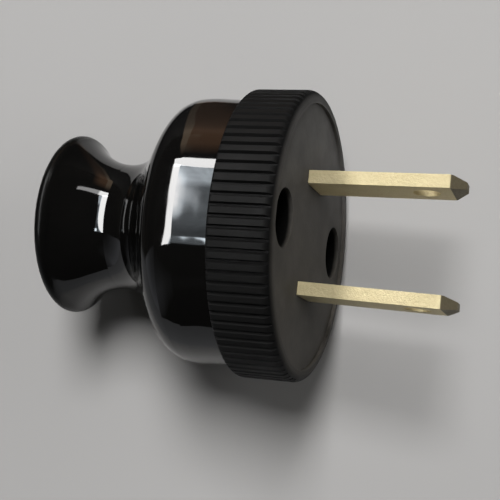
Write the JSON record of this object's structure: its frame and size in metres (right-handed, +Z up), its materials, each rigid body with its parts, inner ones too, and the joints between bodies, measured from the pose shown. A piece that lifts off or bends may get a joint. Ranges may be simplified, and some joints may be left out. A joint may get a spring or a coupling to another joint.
{
  "type": "two-prong plug",
  "caption": "Rewirable round mains plug with flat brass blades, a ribbed matte base and a glossy bell-shaped cover with a waisted neck and flared grip.",
  "frame": {"origin": "on the table, under the middle of the plug's box as it lies on its side", "axes": "+Z up; +X from the grip towards the blade tips, level; the plug's own axis rises 10.3 degrees from +X towards +Z, because the plug lies on its cover's shoulder and the back edge of its ribbed disc"},
  "size_m": [0.0488, 0.0332, 0.0338],
  "materials": {
    "base_matte": "matte moulded",
    "cover_gloss": "polished",
    "brass": "worn bare brass",
    "screw_steel": "dull plated"
  },
  "bodies": {
    "root": {"base": "base_matte", "cover": "cover_gloss", "blade_1": "brass", "blade_2": "brass", "assembly_screw_1": "screw_steel", "assembly_screw_2": "screw_steel", "threaded_insert_1": "brass", "threaded_insert_2": "brass", "terminal_screw_1": "screw_steel", "terminal_screw_2": "screw_steel", "terminal_washer_1": "brass", "terminal_washer_2": "brass"}
  },
  "joints": []
}
